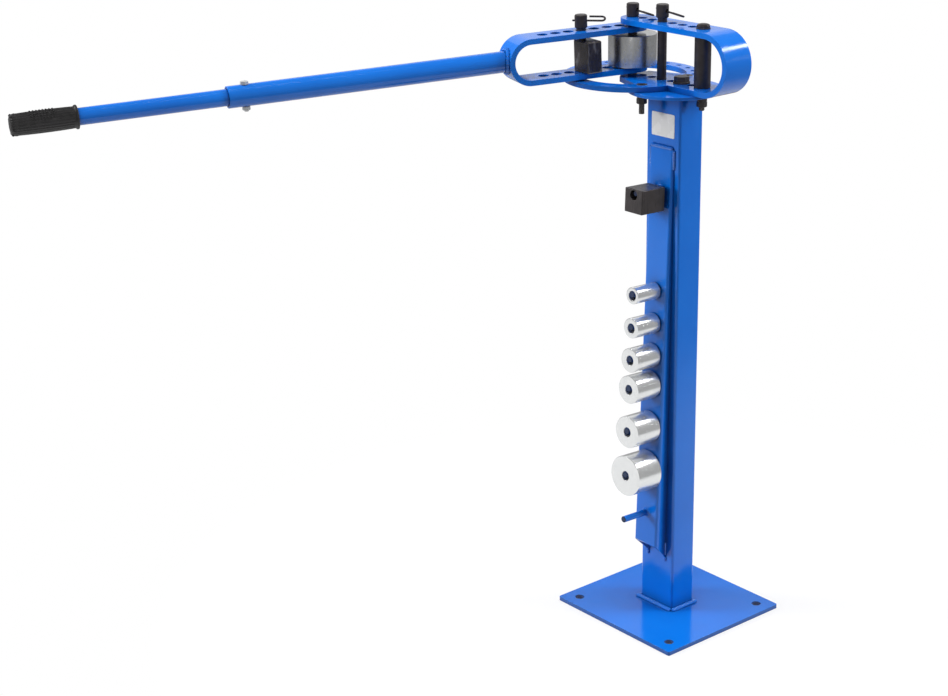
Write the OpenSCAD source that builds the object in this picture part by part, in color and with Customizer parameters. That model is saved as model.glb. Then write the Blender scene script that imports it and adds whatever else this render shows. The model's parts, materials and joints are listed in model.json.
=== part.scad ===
// Pedestal bender for flat bar, rod and tube.
// A base plate carries a rectangular column with a round head flange on top.
// A U-shaped frame with a stop ring is bolted to the flange. A swing arm with a
// long handle turns on the pivot pin and carries the forming block.
// Spare dies hang on the pegs of a wedge-shaped rack on the front of the column.
// Lengths are millimetres. The origin is under the base plate on the column axis,
// Z is up and the rack is on the -Y side.

/* [Base plate] */
// Width of the base plate along X
base_w = 242; // [200:1:320]
// Depth of the base plate along Y
base_d = 234; // [190:1:300]
// Thickness of the base plate
base_t = 6.5; // [5:0.5:14]
// Diameter of the four anchor holes
anchor_d = 14; // [8:0.5:18]
// Distance of each anchor hole from both of its edges
anchor_inset = 23; // [16:0.5:35]

/* [Column] */
// Width of the column tube along X
column_w = 67; // [56:1:80]
// Depth of the column tube along Y
column_d = 46; // [40:1:60]
// Wall thickness of the column tube
column_wall = 3; // [2:0.5:5]
// Height of the column tube above the base plate
column_h = 797.5; // [775:0.5:950]

/* [Head] */
// Thickness of the round head flange
flange_t = 5; // [4:0.5:10]
// Thickness of the flat bar of frame and swing arm
bar_t = 8; // [6:0.5:10]
// Width of the flat bar of the fixed frame
frame_w = 50; // [46:1:56]
// Distance between neighbouring pin holes
hole_pitch = 20; // [19:0.5:22]
// Diameter of the pins
pin_d = 13.4; // [11:0.1:14.5]
// Diameter of the sleeve between the frame legs
post_d = 23.4; // [18:0.2:26]
// Outer diameter of the stop ring
ring_d = 200; // [190:1:216]

/* [Swing arm and handle] */
// Width of the flat bar of the swing arm
arm_w = 44; // [38:1:48]
// Distance from the pivot to the closed end of the swing arm
arm_reach = 199; // [190:1:240]
// Outer diameter of the handle tube
handle_d = 30; // [27:0.5:34]
// Length of the handle tube
handle_len = 400; // [300:5:500]
// Outer diameter of the extension tube
extension_d = 23; // [18:0.5:24]
// Free length of the extension between handle tube and grip
extension_free = 200; // [120:1:260]
// Length of the grip
grip_len = 88; // [80:1:130]

/* [Dies and blocks] */
// Height of the dies and the forming block
tool_len = 45; // [40:1:55]
// Diameter of the die on the pivot pin
centre_die_d = 70; // [60:1:74]
// Diameter of the smallest stored die
die_a_d = 25; // [22:0.5:28]
// Diameter of the second stored die
die_b_d = 30; // [27:0.5:34]
// Diameter of the third stored die
die_c_d = 36; // [33:0.5:40]
// Diameter of the fourth stored die
die_d_d = 42; // [39:0.5:46]
// Diameter of the fifth stored die
die_e_d = 48; // [45:0.5:54]
// Diameter of the largest stored die
die_f_d = 61; // [55:0.5:66]
// Side of the square spare block
spare_side = 35; // [34:0.5:40]
// Width of the forming block
block_w = 36.5; // [33:0.5:41]
// Thickness of the forming block
block_t = 25; // [21.5:0.5:28]

/* [Tool rack] */
// Width of the rack channel
rack_w = 46; // [36:1:48]
// Sheet thickness of the rack channel
rack_sheet = 3; // [2:0.5:4]
// Depth of the rack channel at its lower end
rack_depth = 26; // [18:1:40]
// Diameter of the rack pegs
peg_d = 9.5; // [7:0.5:10.5]
// Height of the rack above the base plate
rack_lift = 111.5; // [70:0.5:125]

/* [Hidden] */
// Which sub-part is drawn
$fn = 48;
// Facets of the large round pieces
fn_big = 96;
// Overrun of every cutting body
cut = 1;
// Play between a pin and its holes, across the diameter
pin_play = 0.8;
hole_d = pin_d + pin_play;
// Play between a turning sleeve or stored tool and its carrier, radial
run_play = 0.1;
rest_play = 0.04;

// Base plate and column
base_corner = 3;
base_shift_x = 3.5;
base_shift_y = -2;
column_corner = 4;
weld_leg = 6;
head_weld_leg = 4;
z_col = base_t;
z_flange = z_col + column_h;

// Head levels
z_leg = z_flange + flange_t;
arm_clear = 4.5;
arm_headroom = 3;
tool_play = 5.5;
arm_gap = tool_len + tool_play;
arm_h = arm_gap + 2*bar_t;
frame_gap = arm_h + arm_clear + arm_headroom;
z_ring_top = z_leg + bar_t;
z_upper = z_ring_top + frame_gap;
z_top = z_upper + bar_t;
z_arm = z_ring_top + arm_clear;
z_arm_floor = z_arm + bar_t;
z_arm_top = z_arm + arm_h;
z_arm_mid = z_arm + arm_h/2;

// Hole rows along the frame, counted from the pivot
bolt_hole = 5;
post_hole = 7;
stop_hole = 3;
hole_count = 8;
bolt_x = 12;
pivot_x = bolt_x - bolt_hole*hole_pitch;
post_x = pivot_x + post_hole*hole_pitch;
stop_x = pivot_x + stop_hole*hole_pitch;
end_past = 14;
bend_after_post = 23.5;
frame_bend_x = post_x + bend_after_post;
frame_bend_r = frame_gap/2 + bar_t;

// Head flange
flange_rim = 15.6;
flange_r = post_x + flange_rim;
side_turn = 115;
side_in = 2;
side_bolt_x = (post_x - side_in)*cos(side_turn);
side_bolt_y = (post_x - side_in)*sin(side_turn);
m8_d = 8;
m8_hole = 8.8;
m8_af = 13;
m8_nut_h = 6.5;
m8_lock_h = 8;
lock_turn = 12;
m8_tail = 29;
post_tail = 18.5;
m8_head_d = 15.8;
m8_head_h = 4.2;
m12_d = 12;
m12_hole = 12.8;
m12_af = 19;
m12_head_h = 7.5;
m12_nut_h = 10;
m12_tail = 14;
m12_washer_d = 24;
m12_washer_t = 2.5;
hex_ratio = 1/cos(30);

// Stop ring and its web
ring_band = 22;
ring_in_r = ring_d/2 - ring_band;
ring_hole_d = 7.5;
ring_hole_r = ring_d/2 - ring_band/2;
ring_hole_first = 41;
ring_hole_step = 15;
ring_hole_count = 9;
web_start_x = 4;
web_start_out = 4;
web_knee_back = 17;
web_knee_out = 2;
web_end_back = 2;
web_end_out = 10;
web_lap = 0.5;

// Sleeve between the legs and its through bolt
post_cap_d = 18.7;
post_cap_h = 6;
post_cap_r = 11;
post_washer_d = 20;
post_washer_t = 1.2;

// Pins
head_d = 18;
head_h = 19;
head_bevel = 1.2;
tip_bevel = 2;
pivot_tail = 5.4;
block_head_gap = 3;
block_pin_tail = 2;
wire_d = 2.8;
clip_hole_d = 5.6;
clip_height_share = 0.55;
clip_stick = 11;
clip_len = 29;
clip_open = 10;
clip_start = 11.5;
clip_tilt = 7.5;
clip_roll = -17;
block_clip_tilt = 2;
block_clip_roll = 25;
block_clip_turn = 45;
long_clip_turn = 4;

// Swing arm
arm_turn = 252;
arm_droop = 1.55;
droop_spare = 0.2;
arm_hole_d = pin_d + arm_h*sin(arm_droop) + droop_spare;
die_lift = 0.7;
arm_end_back = 1.5;
arm_bend_r = arm_h/2;
arm_bend_x = arm_reach - arm_bend_r;
arm_hole_count = 8;
block_hole = 4;
block_x = block_hole*hole_pitch;
block_turn = 8;
bore_wall = 1.6;
block_wall = 1.3;
block_back = hole_d/2 + block_wall;

// Handle, along its own axis from the closed end of the arm
handle_rise = 1.3;
handle_sag = 0.29;
handle_bed = 8;
tube_play = 0.4;
extension_wall = 2.5;
extension_in = 60;
lock_in = 25;
m6_d = 6;
m6_hole = 6.6;
m6_af = 10;
m6_head_h = 4.2;
m6_nut_h = 5;
m6_tail = 2;
grip_wall = 3.3;
grip_belly = 0.6;
grip_end = 3;
grip_collar_d = 31.6;
grip_collar_h = 4;
grip_round = 2.5;
bead_len = 7;
bead_out = 4;
bead_tip = 1;
bead_bed = 3;

// Rack and its pegs, heights counted from the rack foot
peg_len = 47.5;
collar_d = 17;
collar_t = 1.5;
rack_fold = 4;
rack_draft = 11;
rack_heel = 26;
first_peg = 50;
last_peg = 60;
die_gaps = [6.5, 14.5, 21, 6, 16, 21.5];
peg_dies = [centre_die_d, die_f_d, die_e_d, die_d_d, die_c_d, die_b_d, die_a_d];
die_pegs = 7;
peg_count = die_pegs + 1;
function die_peg(i) = i == 0 ? first_peg
    : die_peg(i - 1) + peg_dies[i - 1]/2 + peg_dies[i]/2 + die_gaps[i - 1];

// The rack ends below the flange; on a short column it moves down, on a tall one it grows
rack_top_free = 77;
spare_gap_min = 6;
rack_len_min = die_peg(die_pegs - 1) + die_a_d/2 + spare_gap_min + spare_side/2 + last_peg;
rack_foot = min(rack_lift, column_h - rack_top_free - rack_len_min);
rack_len = column_h - rack_top_free - rack_foot;
function peg_at(i) = i < die_pegs ? die_peg(i) : rack_len - last_peg;
rack_rise = rack_depth - rack_sheet;
rack_tilt = atan(rack_rise/rack_len);
rack_z = z_col + rack_foot;
rack_y = -column_d/2;
tool_bevel = 0.8;
block_bevel = 1.6;
spare_gap = 6.5;
spare_bore_up = spare_side/2 - hole_d/2 - bore_wall;
hang = hole_d/2 - peg_d/2 - rest_play;

// Blank label on the column
label_w = 45;
label_h = 34;
label_t = 0.5;
label_below = 28;

blue = [0.09, 0.36, 0.78];
black = [0.14, 0.13, 0.13];
zinc = [0.78, 0.80, 0.82];
white = [0.90, 0.91, 0.92];

// Shared shapes

// Upright box with round vertical edges, centred on Z
module rounded_box(w, d, h, r) {
    translate([-w/2 + r, -d/2, 0]) cube([w - 2*r, d, h]);
    translate([-w/2, -d/2 + r, 0]) cube([w, d - 2*r, h]);
    for (x = [-1, 1], y = [-1, 1])
        translate([x*(w/2 - r), y*(d/2 - r), 0]) cylinder(r = r, h = h);
}

// Rectangle with cut corners, centred
module cut_rect(a, b, c) {
    polygon([
        [-a/2 + c, -b/2], [a/2 - c, -b/2], [a/2, -b/2 + c], [a/2, b/2 - c],
        [a/2 - c, b/2], [-a/2 + c, b/2], [-a/2, b/2 - c], [-a/2, -b/2 + c]
    ]);
}

// Upright block with all edges bevelled, centred on Z, standing on z = 0
module bevelled_block(a, b, h, c) {
    intersection() {
        linear_extrude(h) cut_rect(a, b, c);
        translate([0, b/2, h/2]) rotate([90, 0, 0]) linear_extrude(b) cut_rect(a, h, c);
        translate([-a/2, 0, h/2]) rotate([90, 0, 90]) linear_extrude(a) cut_rect(b, h, c);
    }
}

// Round bar standing on z = 0 with both end edges bevelled
module bevelled_round(d, h, c) {
    cylinder(d1 = d - 2*c, d2 = d, h = c);
    translate([0, 0, c]) cylinder(d = d, h = h - 2*c);
    translate([0, 0, h - c]) cylinder(d1 = d, d2 = d - 2*c, h = c);
}

// Round hole through a piece from z0 up by h
module bore(d, z0, h) {
    translate([0, 0, z0 - cut]) cylinder(d = d, h = h + 2*cut);
}

// Hexagon head or nut, given across its flats
module hexagon(af, h) {
    cylinder(d = af*hex_ratio, h = h, $fn = 6);
}

// Flat bar bent to a U around an axis along Y, lower leg on z = 0,
// round leg ends at the origin side
module u_bar(end_x, bend_x, w, gap) {
    for (z = [0, gap + bar_t]) translate([0, 0, z]) {
        translate([end_x, -w/2, 0]) cube([bend_x - end_x, w, bar_t]);
        translate([end_x, 0, 0]) cylinder(d = w, h = bar_t, $fn = fn_big);
    }
    translate([bend_x, 0, bar_t + gap/2]) rotate([90, 0, 0]) rotate([0, 0, -90])
        rotate_extrude(angle = 180, $fn = fn_big)
            translate([gap/2, -w/2]) square([bar_t, w]);
}

// Spring wire pin along +X through the head of a pin, open end back at the head
module hairpin(tilt, roll) {
    rotate([0, tilt, 0]) rotate([roll, 0, 0]) {
        translate([-clip_stick, 0, 0]) rotate([0, 90, 0])
            cylinder(d = wire_d, h = clip_stick + clip_len, $fn = 24);
        translate([-clip_stick, 0, 0]) rotate_extrude($fn = 24)
            intersection() {
                circle(d = wire_d, $fn = 24);
                translate([0, -wire_d]) square([wire_d, 2*wire_d]);
            }
        translate([clip_len, clip_open/2, 0]) rotate([0, 0, -90])
            rotate_extrude(angle = 180) translate([clip_open/2, 0])
                circle(d = wire_d, $fn = 24);
        translate([clip_start, clip_open, 0]) rotate([0, 90, 0])
            cylinder(d = wire_d, h = clip_len - clip_start, $fn = 24);
    }
}

// Locking pin, head underside on z = 0, shank down by len
module lock_pin(len, turn, tilt) {
    difference() {
        union() {
            bevelled_round(head_d, head_h, head_bevel);
            translate([0, 0, -len + tip_bevel]) cylinder(d = pin_d, h = len - tip_bevel);
            translate([0, 0, -len])
                cylinder(d1 = pin_d - 2*tip_bevel, d2 = pin_d, h = tip_bevel);
        }
        translate([0, 0, clip_height_share*head_h]) rotate([0, 0, turn])
            rotate([0, 90, 0]) translate([0, 0, -head_d])
                cylinder(d = clip_hole_d, h = 2*head_d, $fn = 32);
    }
}

// Frame of the swing arm: pivot on the Z axis, arm along +X, hanging by its slack
module at_arm() {
    translate([pivot_x, 0, z_arm_mid]) rotate([0, arm_droop, arm_turn])
        translate([0, 0, -z_arm_mid]) children();
}

// Frame of the handle: axis along +X from the closed end of the arm
module at_handle() {
    at_arm() translate([arm_reach, 0, z_arm_mid + handle_rise])
        rotate([0, handle_sag, 0]) children();
}

// Outer surface of the arm bend, seen from the arm frame
module arm_bend_body() {
    translate([arm_bend_x, 0, z_arm + arm_bend_r]) rotate([90, 0, 0])
        translate([0, 0, -arm_w]) cylinder(r = arm_bend_r, h = 2*arm_w, $fn = fn_big);
}

// Frame of peg i: +Z along the peg, +Y upwards, root on the face of the rack
module at_peg(i) {
    translate([0, rack_y - rack_depth, rack_z])
        rotate([90 - rack_tilt, 0, 0]) translate([0, peg_at(i)/cos(rack_tilt), 0])
            children();
}

// Die hung on peg i
module stored_die(d, i) {
    at_peg(i) translate([0, -hang, collar_t]) difference() {
        bevelled_round(d, tool_len, tool_bevel);
        bore(hole_d, 0, tool_len);
    }
}

// Sub-parts

module base_plate() color(blue) translate([base_shift_x, base_shift_y, 0]) difference() {
    rounded_box(base_w, base_d, base_t, base_corner);
    for (x = [-1, 1], y = [-1, 1])
        translate([x*(base_w/2 - anchor_inset), y*(base_d/2 - anchor_inset), 0])
            bore(anchor_d, 0, base_t);
}

module column() color(blue) translate([0, 0, z_col]) difference() {
    rounded_box(column_w, column_d, column_h, column_corner);
    translate([0, 0, -cut]) rounded_box(column_w - 2*column_wall,
        column_d - 2*column_wall, column_h + 2*cut, column_corner - column_wall/2);
}

module foot_weld() color(blue) translate([0, 0, z_col]) difference() {
    hull() {
        rounded_box(column_w + 2*weld_leg, column_d + 2*weld_leg, bead_tip,
            column_corner + weld_leg, $fn = 32);
        rounded_box(column_w + 2*bead_tip, column_d + 2*bead_tip, weld_leg,
            column_corner + bead_tip, $fn = 32);
    }
    translate([0, 0, -cut])
        rounded_box(column_w, column_d, weld_leg + 2*cut, column_corner);
}

module head_flange() color(blue) translate([0, 0, z_flange]) difference() {
    cylinder(r = flange_r, h = flange_t, $fn = fn_big);
    translate([bolt_x, 0, 0]) bore(m12_hole, 0, flange_t);
    translate([post_x, 0, 0]) bore(m8_hole, 0, flange_t);
    for (y = [-1, 1]) translate([side_bolt_x, y*side_bolt_y, 0])
        bore(m8_hole, 0, flange_t);
}

module head_weld() color(blue) translate([0, 0, z_flange]) mirror([0, 0, 1]) difference() {
    hull() {
        rounded_box(column_w + 2*head_weld_leg, column_d + 2*head_weld_leg, bead_tip,
            column_corner + head_weld_leg, $fn = 32);
        rounded_box(column_w + 2*bead_tip, column_d + 2*bead_tip, head_weld_leg,
            column_corner + bead_tip, $fn = 32);
    }
    translate([0, 0, -cut])
        rounded_box(column_w, column_d, head_weld_leg + 2*cut, column_corner);
}

module stop_ring() color(blue) translate([0, 0, z_leg]) difference() {
    union() {
        translate([pivot_x, 0, 0]) difference() {
            cylinder(d = ring_d, h = bar_t, $fn = fn_big);
            bore(2*ring_in_r, 0, bar_t, $fn = fn_big);
        }
        intersection() {
            linear_extrude(bar_t) for (y = [-1, 1]) polygon([
                [pivot_x + web_start_x, 0],
                [pivot_x + web_start_x, y*(frame_w/2 + web_start_out)],
                [side_bolt_x - web_knee_back, y*(side_bolt_y + web_knee_out)],
                [side_bolt_x - web_end_back, y*(side_bolt_y + web_end_out)],
                [pivot_x + ring_d/2, y*side_bolt_y],
                [pivot_x + ring_d/2, 0]
            ]);
            translate([pivot_x, 0, 0])
                cylinder(r = ring_in_r + web_lap, h = bar_t, $fn = fn_big);
        }
    }
    translate([pivot_x, -frame_w/2, -cut]) cube([ring_d, frame_w, bar_t + 2*cut]);
    for (y = [-1, 1]) translate([side_bolt_x, y*side_bolt_y, 0]) {
        bore(m8_hole, 0, bar_t);
        translate([0, 0, bar_t - m8_head_h])
            cylinder(d1 = m8_d, d2 = m8_head_d, h = m8_head_h);
    }
    for (k = [0 : ring_hole_count - 1])
        translate([pivot_x, 0, 0]) rotate([0, 0, ring_hole_first + k*ring_hole_step])
            translate([ring_hole_r, 0, 0]) bore(ring_hole_d, 0, bar_t, $fn = 32);
}

module fixed_frame() color(blue) translate([0, 0, z_leg]) difference() {
    u_bar(pivot_x - end_past + frame_w/2, frame_bend_x, frame_w, frame_gap);
    for (k = [0 : hole_count - 1])
        translate([pivot_x + k*hole_pitch, 0, 0]) bore(hole_d, 0, frame_gap + 2*bar_t);
}

module centre_bolt() color(black) translate([bolt_x, 0, z_ring_top + m12_washer_t]) {
    hexagon(m12_af, m12_head_h);
    translate([0, 0, -(m12_washer_t + bar_t + flange_t + m12_tail)])
        cylinder(d = m12_d, h = m12_washer_t + bar_t + flange_t + m12_tail);
}

module centre_washer() color(black) translate([bolt_x, 0, z_ring_top]) difference() {
    cylinder(d = m12_washer_d, h = m12_washer_t);
    bore(m12_d, 0, m12_washer_t);
}

module centre_nut() color(black) translate([bolt_x, 0, z_flange - m12_nut_h]) difference() {
    hexagon(m12_af, m12_nut_h);
    bore(m12_d, 0, m12_nut_h);
}

module side_bolt(y) color(black) translate([side_bolt_x, y*side_bolt_y, 0]) {
    translate([0, 0, z_flange - m8_tail])
        cylinder(d = m8_d, h = z_ring_top - m8_head_h - z_flange + m8_tail);
    translate([0, 0, z_ring_top - m8_head_h])
        cylinder(d1 = m8_d, d2 = m8_head_d, h = m8_head_h);
}

// Hexagon nut with a lock nut below it, hung under the flange
module double_nut() {
    difference() {
        union() {
            translate([0, 0, -m8_nut_h]) hexagon(m8_af, m8_nut_h);
            translate([0, 0, -m8_nut_h - m8_lock_h]) rotate([0, 0, lock_turn])
                hexagon(m8_af, m8_lock_h);
        }
        bore(m8_d, -m8_nut_h - m8_lock_h, m8_nut_h + m8_lock_h);
    }
}

module side_nut(y) color(black)
    translate([side_bolt_x, y*side_bolt_y, z_flange]) double_nut();

module flange_bolt_front() side_bolt(-1);
module flange_bolt_back() side_bolt(1);
module flange_nut_front() side_nut(-1);
module flange_nut_back() side_nut(1);

module post_bolt() color(black) translate([post_x, 0, 0]) {
    translate([0, 0, z_flange - post_tail])
        cylinder(d = m8_d, h = z_top + post_washer_t - z_flange + post_tail);
    translate([0, 0, z_top + post_washer_t]) intersection() {
        cylinder(d = post_cap_d, h = post_cap_h);
        translate([0, 0, post_cap_h - post_cap_r]) sphere(r = post_cap_r);
    }
}

module post_washer() color(black) translate([post_x, 0, z_top]) difference() {
    cylinder(d = post_washer_d, h = post_washer_t);
    bore(m8_d, 0, post_washer_t);
}

module post_nut() color(black) translate([post_x, 0, z_flange]) double_nut();

module spacer_post() color(black) translate([post_x, 0, z_ring_top + run_play]) difference() {
    bevelled_round(post_d, frame_gap - 2*run_play, tool_bevel);
    bore(m8_d + 2*run_play, 0, frame_gap);
}

module swing_arm() color(blue) at_arm() translate([0, 0, z_arm]) difference() {
    u_bar(arm_end_back, arm_bend_x, arm_w, arm_gap);
    for (k = [0 : arm_hole_count - 1])
        translate([k*hole_pitch, 0, 0]) bore(arm_hole_d, 0, arm_h);
}

module arm_weld() color(blue) difference() {
    at_handle() translate([-bead_bed, 0, 0]) rotate([0, 90, 0])
        cylinder(d1 = handle_d + 2*bead_out, d2 = handle_d + 2*bead_tip, h = bead_len);
    at_handle() rotate([0, 90, 0]) translate([0, 0, -handle_bed])
        cylinder(d = handle_d, h = handle_bed + bead_len);
    at_arm() arm_bend_body();
}

module handle_tube() color(blue) difference() {
    at_handle() rotate([0, 90, 0]) translate([0, 0, -handle_bed])
        cylinder(d = handle_d, h = handle_len + handle_bed);
    at_handle() rotate([0, 90, 0]) bore(extension_d + tube_play, 0, handle_len);
    at_handle() translate([handle_len - lock_in, 0, -handle_d])
        cylinder(d = m6_hole, h = 2*handle_d);
    at_arm() arm_bend_body();
}

module handle_extension() color(blue) at_handle() difference() {
    translate([handle_len - extension_in, 0, 0]) rotate([0, 90, 0]) difference() {
        cylinder(d = extension_d, h = extension_in + extension_free + grip_len - grip_end);
        bore(extension_d - 2*extension_wall, 0,
            extension_in + extension_free + grip_len - grip_end);
    }
    translate([handle_len - lock_in, 0, -handle_d]) cylinder(d = m6_hole, h = 2*handle_d);
}

module handle_bolt() color(zinc) at_handle() translate([handle_len - lock_in, 0, 0]) {
    translate([0, 0, handle_d/2]) hexagon(m6_af, m6_head_h);
    translate([0, 0, -handle_d/2 - m6_nut_h - m6_tail])
        cylinder(d = m6_d, h = handle_d + m6_nut_h + m6_tail);
}

module handle_nut() color(zinc) at_handle()
    translate([handle_len - lock_in, 0, -handle_d/2 - m6_nut_h]) difference() {
        hexagon(m6_af, m6_nut_h);
        bore(m6_d, 0, m6_nut_h);
    }

module grip() color(blue) at_handle()
    translate([handle_len + extension_free, 0, 0]) rotate([0, 90, 0]) difference() {
        rotate_extrude() polygon([
            [0, 0], [grip_collar_d/2, 0], [grip_collar_d/2, grip_collar_h],
            [extension_d/2 + grip_wall, grip_collar_h + bead_tip],
            [extension_d/2 + grip_wall + grip_belly, grip_len/2],
            [extension_d/2 + grip_wall, grip_len - grip_round],
            [extension_d/2 + grip_wall - grip_round, grip_len], [0, grip_len]
        ]);
        translate([0, 0, -cut]) cylinder(d = extension_d, h = grip_len - grip_end + cut);
    }

module pivot_pin() color(black) translate([pivot_x, 0, z_top])
    lock_pin(z_top - z_leg + pivot_tail, long_clip_turn, clip_tilt);

module pivot_clip() color(black)
    translate([pivot_x, 0, z_top + clip_height_share*head_h])
        rotate([0, 0, long_clip_turn]) hairpin(clip_tilt, clip_roll);

module stop_pin() color(black)
    translate([stop_x, 0, z_top + pivot_tail])
        lock_pin(z_top - z_leg + pivot_tail, long_clip_turn, clip_tilt);

module stop_clip() color(black)
    translate([stop_x, 0, z_top + pivot_tail + clip_height_share*head_h])
        rotate([0, 0, long_clip_turn]) hairpin(clip_tilt, clip_roll);

module block_pin() color(black) at_arm() translate([block_x, 0, z_arm_top + block_head_gap])
    lock_pin(arm_h + block_head_gap + block_pin_tail, block_clip_turn - arm_turn,
        block_clip_tilt);

module block_clip() color(black) at_arm()
    translate([block_x, 0, z_arm_top + block_head_gap + clip_height_share*head_h])
        rotate([0, 0, block_clip_turn - arm_turn]) hairpin(block_clip_tilt, block_clip_roll);

module centre_die() color(zinc) translate([pivot_x, 0, z_arm_floor + die_lift]) difference() {
    bevelled_round(centre_die_d, tool_len, tool_bevel, $fn = fn_big);
    bore(hole_d, 0, tool_len);
}

module forming_block() color(black) at_arm() translate([block_x, 0, z_arm_floor])
    rotate([0, 0, block_turn]) difference() {
        translate([block_back - block_t/2, block_w/2 - block_back, 0])
            bevelled_block(block_t, block_w, tool_len, block_bevel);
        bore(hole_d, 0, tool_len);
    }

// Cross-section of the folded rack, its sides leaning in towards the column
module rack_section(inset) {
    foot_half = rack_w/2 - rack_fold - 2*rack_depth*tan(rack_draft);
    hull() for (x = [-1, 1]) {
        translate([x*(rack_w/2 - rack_fold), rack_fold]) circle(r = rack_fold - inset);
        translate([x*foot_half, rack_fold + 2*rack_depth]) circle(r = rack_fold - inset);
    }
}

module tool_rack() color(blue) translate([0, rack_y, rack_z]) difference() {
    intersection() {
        translate([-rack_w/2, 0, 0]) rotate([90, 0, 90]) linear_extrude(rack_w) polygon([
            [-rack_depth, 0], [0, -rack_heel], [0, rack_len], [-rack_sheet, rack_len]
        ]);
        translate([0, -rack_depth, 0]) rotate([-rack_tilt, 0, 0])
            translate([0, 0, -2*rack_heel])
                linear_extrude(rack_len + 4*rack_heel) rack_section(0);
    }
    intersection() {
        translate([-rack_w/2, 0, 0]) rotate([90, 0, 90]) linear_extrude(rack_w) polygon([
            [-rack_depth + rack_sheet, -cut], [-rack_depth + rack_sheet, 0], [0, rack_len],
            [cut, rack_len], [cut, -2*rack_heel], [-rack_depth + rack_sheet, -2*rack_heel]
        ]);
        translate([0, -rack_depth, 0]) rotate([-rack_tilt, 0, 0])
            translate([0, 0, -2*rack_heel])
                linear_extrude(rack_len + 4*rack_heel) rack_section(rack_sheet);
    }
}

module rack_pegs() color(blue) for (i = [0 : peg_count - 1]) at_peg(i) {
    cylinder(d = collar_d, h = collar_t);
    bevelled_round(peg_d, peg_len, tool_bevel);
}

module die_a() color(zinc) stored_die(die_a_d, 6);
module die_b() color(zinc) stored_die(die_b_d, 5);
module die_c() color(zinc) stored_die(die_c_d, 4);
module die_d() color(zinc) stored_die(die_d_d, 3);
module die_e() color(zinc) stored_die(die_e_d, 2);
module die_f() color(zinc) stored_die(die_f_d, 1);

module spare_block() color(black) at_peg(peg_count - 1)
    translate([0, -hang, spare_gap]) difference() {
        translate([0, -spare_bore_up, 0])
            bevelled_block(spare_side, spare_side, tool_len, tool_bevel);
        bore(hole_d, 0, tool_len);
    }

module label_plate() color(white)
    translate([-label_w/2, -column_d/2 - label_t, z_flange - label_below - label_h])
        cube([label_w, label_t, label_h]);

base_plate();
column();
foot_weld();
head_flange();
head_weld();
stop_ring();
fixed_frame();
centre_bolt();
centre_washer();
centre_nut();
flange_bolt_front();
flange_bolt_back();
flange_nut_front();
flange_nut_back();
post_bolt();
post_washer();
post_nut();
spacer_post();
swing_arm();
arm_weld();
handle_tube();
handle_extension();
handle_bolt();
handle_nut();
grip();
pivot_pin();
pivot_clip();
stop_pin();
stop_clip();
block_pin();
block_clip();
centre_die();
forming_block();
tool_rack();
rack_pegs();
die_a();
die_b();
die_c();
die_d();
die_e();
die_f();
spare_block();
label_plate();
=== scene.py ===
import json
import math

import bmesh
import bpy
from mathutils import Matrix, Vector


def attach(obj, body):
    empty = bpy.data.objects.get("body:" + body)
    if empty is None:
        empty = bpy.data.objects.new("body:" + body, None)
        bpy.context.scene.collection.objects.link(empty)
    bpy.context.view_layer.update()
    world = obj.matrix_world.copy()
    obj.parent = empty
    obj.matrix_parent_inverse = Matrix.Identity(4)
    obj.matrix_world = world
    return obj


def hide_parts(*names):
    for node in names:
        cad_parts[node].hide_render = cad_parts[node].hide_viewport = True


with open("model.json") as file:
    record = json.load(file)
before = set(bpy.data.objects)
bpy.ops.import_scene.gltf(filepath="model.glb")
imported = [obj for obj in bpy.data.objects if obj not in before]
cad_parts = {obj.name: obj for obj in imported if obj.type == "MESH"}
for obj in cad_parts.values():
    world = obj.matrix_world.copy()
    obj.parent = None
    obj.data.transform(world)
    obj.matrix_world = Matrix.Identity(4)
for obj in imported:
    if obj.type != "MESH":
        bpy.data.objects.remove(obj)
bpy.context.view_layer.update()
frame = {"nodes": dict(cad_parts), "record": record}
scene = bpy.context.scene


# Places and sizes in metres, read from the solids and joints where these hold them

def corners(node):
    """Lowest and highest corner of a solid, rounded to a micrometre."""
    points = [vertex.co for vertex in frame["nodes"][node].data.vertices]
    return [[round(pick(point[axis] for point in points), 6) for axis in range(3)] for pick in (min, max)]


def middle(node):
    """Where the upright axis of a solid stands, as x and y, to a hundredth of a millimetre."""
    low, high = corners(node)
    return [round((low[axis] + high[axis]) / 2, 5) for axis in range(2)]


joint_places = {joint["name"]: joint.get("pos_m") for joint in frame["record"]["behaviour"]["joints"]}

# The column stands centred on the origin, between the plate and the flange
(_, _, PLATE_TOP), (HALF_W, HALF_D, UNDER_FLANGE) = corners("column")
RING_TOP = corners("stop_ring")[1][2]
FRAME_TOP = corners("fixed_frame")[1][2]
*PIVOT, ARM_LEVEL = joint_places["arm_swing"]
POST = joint_places["post_spin"][:2]
CENTRE_BOLT = middle("centre_bolt")
SIDE_BOLT = middle("flange_nut_back")

# The rack leans in from foot to top; its heel reaches further down, and its sides lean in too
(_, rack_front, heel_foot), (RACK_HALF_W, _, RACK_TOP) = corners("tool_rack")
RACK_HEEL = 0.026
RACK_SHEET = 0.003
RACK_DRAFT = math.tan(math.radians(11))
RACK_FOOT = heel_foot + RACK_HEEL
RACK_LEN = RACK_TOP - RACK_FOOT
RACK_DEPTH = -HALF_D - rack_front
RACK_SLOPE = (RACK_DEPTH - RACK_SHEET) / RACK_LEN
RACK_LEAN = math.atan(RACK_SLOPE)
PEG_HEIGHTS = (0.050, 0.122, 0.191, 0.257, 0.302, 0.351, 0.400, 0.549)
PEG_R = 0.00475

# Reach of the arm to its handle, rise of the handle above the arm's middle, angles, start of the grip
ARM_REACH = 0.199
HANDLE_RISE = 0.0013
ARM_BEARING = 252
ARM_SAG = 1.55
HANDLE_SAG = 0.29
GRIP_START = 0.600

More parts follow.
